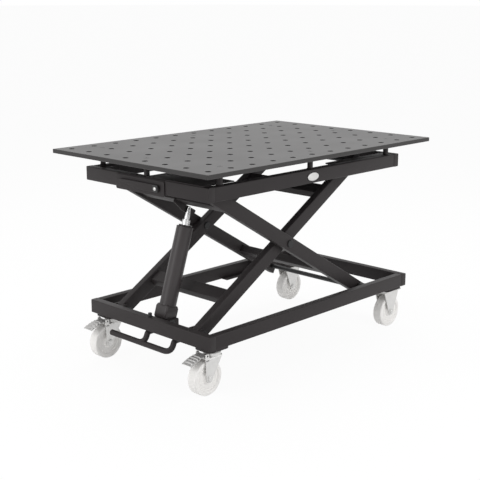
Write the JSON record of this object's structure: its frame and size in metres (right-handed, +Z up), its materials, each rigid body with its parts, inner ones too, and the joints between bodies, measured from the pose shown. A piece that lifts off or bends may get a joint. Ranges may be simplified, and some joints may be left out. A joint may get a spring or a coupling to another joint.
{
  "type": "assembly table",
  "caption": "Mobile assembly table: perforated steel top on a scissor lift, raised by a foot-pumped cylinder, on braked casters.",
  "frame": {"origin": "on the floor under the middle of the table top", "axes": "+X along the long side from the pump end to the roller end, +Y across to the rear side, +Z up"},
  "size_m": [1.2, 0.796, 0.7791],
  "materials": {
    "powder_coat": "satin anthracite powder coat",
    "top_steel": "ground and darkened steel plate",
    "black_steel": "black oxide",
    "hard_chrome": "ground and hard chromed",
    "zinc": "bright zinc plating",
    "wheel_nylon": "natural moulded nylon",
    "roller_nylon": "black turned nylon"
  },
  "bodies": {
    "base": {"base_rail_front": "powder_coat", "base_rail_rear": "powder_coat", "base_rail_left": "powder_coat", "base_rail_right": "powder_coat", "lower_pivot_pin_front": "black_steel", "lower_pivot_pin_rear": "black_steel", "pump_bracket": "powder_coat", "pump_pin": "black_steel", "caster_plate_front_left": "powder_coat", "caster_plate_front_right": "powder_coat", "caster_plate_rear_left": "powder_coat", "caster_plate_rear_right": "powder_coat", "fork_front_right": "zinc", "fork_rear_right": "zinc"},
    "inner_arms": {"inner_arm_front": "powder_coat", "inner_arm_rear": "powder_coat", "centre_pin_front": "black_steel", "centre_pin_rear": "black_steel", "inner_cross_lower": "powder_coat", "inner_cross_upper": "powder_coat", "upper_roller_axle": "black_steel"},
    "outer_arms": {"outer_arm_front": "powder_coat", "outer_arm_rear": "powder_coat", "outer_cross_upper": "powder_coat", "outer_cross_lower": "powder_coat", "lower_roller_axle": "black_steel"},
    "top": {"table_top": "top_steel", "post_front_left": "powder_coat", "post_front_middle": "powder_coat", "post_front_right": "powder_coat", "post_rear_left": "powder_coat", "post_rear_middle": "powder_coat", "post_rear_right": "powder_coat", "post_left": "powder_coat", "post_right": "powder_coat", "top_rail_front": "powder_coat", "top_rail_rear": "powder_coat", "top_rail_left": "powder_coat", "top_rail_right": "powder_coat", "upper_pivot_pin_front": "black_steel", "upper_pivot_pin_rear": "black_steel", "lever_plate": "powder_coat", "frame_cover": "powder_coat"},
    "pump": {"pump_cylinder": "powder_coat"},
    "rod": {"piston_rod": "hard_chrome"},
    "pedal": {"foot_pedal": "powder_coat"},
    "lever": {"release_lever": "black_steel"},
    "swivel_front_left": {"fork_front_left": "zinc"},
    "swivel_rear_left": {"fork_rear_left": "zinc"},
    "brake_pedal_front_left": {"brake_front_left": "zinc"},
    "brake_pedal_rear_left": {"brake_rear_left": "zinc"},
    "caster_wheel_front_left": {"wheel_front_left": "wheel_nylon"},
    "caster_wheel_rear_left": {"wheel_rear_left": "wheel_nylon"},
    "caster_wheel_front_right": {"wheel_front_right": "wheel_nylon"},
    "caster_wheel_rear_right": {"wheel_rear_right": "wheel_nylon"},
    "roller_upper_front": {"upper_roller_front": "roller_nylon"},
    "roller_upper_rear": {"upper_roller_rear": "roller_nylon"},
    "roller_lower_front": {"lower_roller_front": "roller_nylon"},
    "roller_lower_rear": {"lower_roller_rear": "roller_nylon"}
  },
  "joints": [
    {"name": "lift", "type": "hinge", "parent": "base", "child": "inner_arms", "pos_m": [-0.458, 0, 0.192], "axis": [0, -1, 0], "range_deg": [-3, 19]},
    {"name": "scissor_centre", "type": "hinge", "parent": "inner_arms", "child": "outer_arms", "pos_m": [-0.04225, 0, 0.44181], "axis": [0, -1, 0], "range_deg": [-38.5, 6.5]},
    {"name": "top_pivot", "type": "hinge", "parent": "outer_arms", "child": "top", "pos_m": [-0.458, 0, 0.69162], "axis": [0, -1, 0], "range_deg": [-3.5, 19.5]},
    {"name": "pump_lean", "type": "hinge", "parent": "base", "child": "pump", "pos_m": [-0.434, 0, 0.186], "axis": [0, -1, 0], "range_deg": [-2.5, 12]},
    {"name": "piston", "type": "slide", "parent": "pump", "child": "rod", "axis": [0.3095, 0, 0.9509], "range_m": [-0.032, 0.195]},
    {"name": "pump_pedal", "type": "hinge", "parent": "base", "child": "pedal", "pos_m": [-0.44, 0, 0.157], "axis": [0, -1, 0], "range_deg": [0, 20], "stiffness_Nm_per_rad": 12, "springref_deg": -20.05},
    {"name": "release", "type": "hinge", "parent": "top", "child": "lever", "pos_m": [-0.525, -0.075, 0.68662], "axis": [1, 0, 0], "range_deg": [0, 10], "stiffness_Nm_per_rad": 2, "springref_deg": -14.32},
    {"name": "swivel_front_left", "type": "hinge", "parent": "base", "child": "swivel_front_left", "pos_m": [-0.4565, -0.265, 0.14], "axis": [0, 0, 1], "continuous": true},
    {"name": "brake_front_left", "type": "hinge", "parent": "swivel_front_left", "child": "brake_pedal_front_left", "pos_m": [-0.5015, -0.265, 0.144], "axis": [0, -1, 0], "range_deg": [0, 12]},
    {"name": "swivel_rear_left", "type": "hinge", "parent": "base", "child": "swivel_rear_left", "pos_m": [-0.4565, 0.265, 0.14], "axis": [0, 0, 1], "continuous": true},
    {"name": "brake_rear_left", "type": "hinge", "parent": "swivel_rear_left", "child": "brake_pedal_rear_left", "pos_m": [-0.5015, 0.265, 0.144], "axis": [0, -1, 0], "range_deg": [0, 12]},
    {"name": "wheel_front_left", "type": "hinge", "parent": "swivel_front_left", "child": "caster_wheel_front_left", "pos_m": [-0.4915, -0.265, 0.0625], "axis": [0, 1, 0], "continuous": true},
    {"name": "wheel_rear_left", "type": "hinge", "parent": "swivel_rear_left", "child": "caster_wheel_rear_left", "pos_m": [-0.4915, 0.265, 0.0625], "axis": [0, 1, 0], "continuous": true},
    {"name": "wheel_front_right", "type": "hinge", "parent": "base", "child": "caster_wheel_front_right", "pos_m": [0.5395, -0.265, 0.0625], "axis": [0, 1, 0], "continuous": true},
    {"name": "wheel_rear_right", "type": "hinge", "parent": "base", "child": "caster_wheel_rear_right", "pos_m": [0.5395, 0.265, 0.0625], "axis": [0, 1, 0], "continuous": true},
    {"name": "roller_upper_front", "type": "hinge", "parent": "inner_arms", "child": "roller_upper_front", "pos_m": [0.3735, -0.266, 0.69162], "axis": [0, 1, 0], "continuous": true},
    {"name": "roller_upper_rear", "type": "hinge", "parent": "inner_arms", "child": "roller_upper_rear", "pos_m": [0.3735, 0.266, 0.69162], "axis": [0, 1, 0], "continuous": true},
    {"name": "roller_lower_front", "type": "hinge", "parent": "outer_arms", "child": "roller_lower_front", "pos_m": [0.3735, -0.266, 0.192], "axis": [0, 1, 0], "continuous": true},
    {"name": "roller_lower_rear", "type": "hinge", "parent": "outer_arms", "child": "roller_lower_rear", "pos_m": [0.3735, 0.266, 0.192], "axis": [0, 1, 0], "continuous": true}
  ],
  "couplings": [
    {"joint": "scissor_centre", "follows": "lift", "ratio": -2},
    {"joint": "top_pivot", "follows": "lift", "ratio": 1},
    {"joint": "pump_lean", "follows": "lift", "ratio": 0.5741},
    {"joint": "piston", "follows": "lift", "m_per_rad": 0.5731}
  ]
}
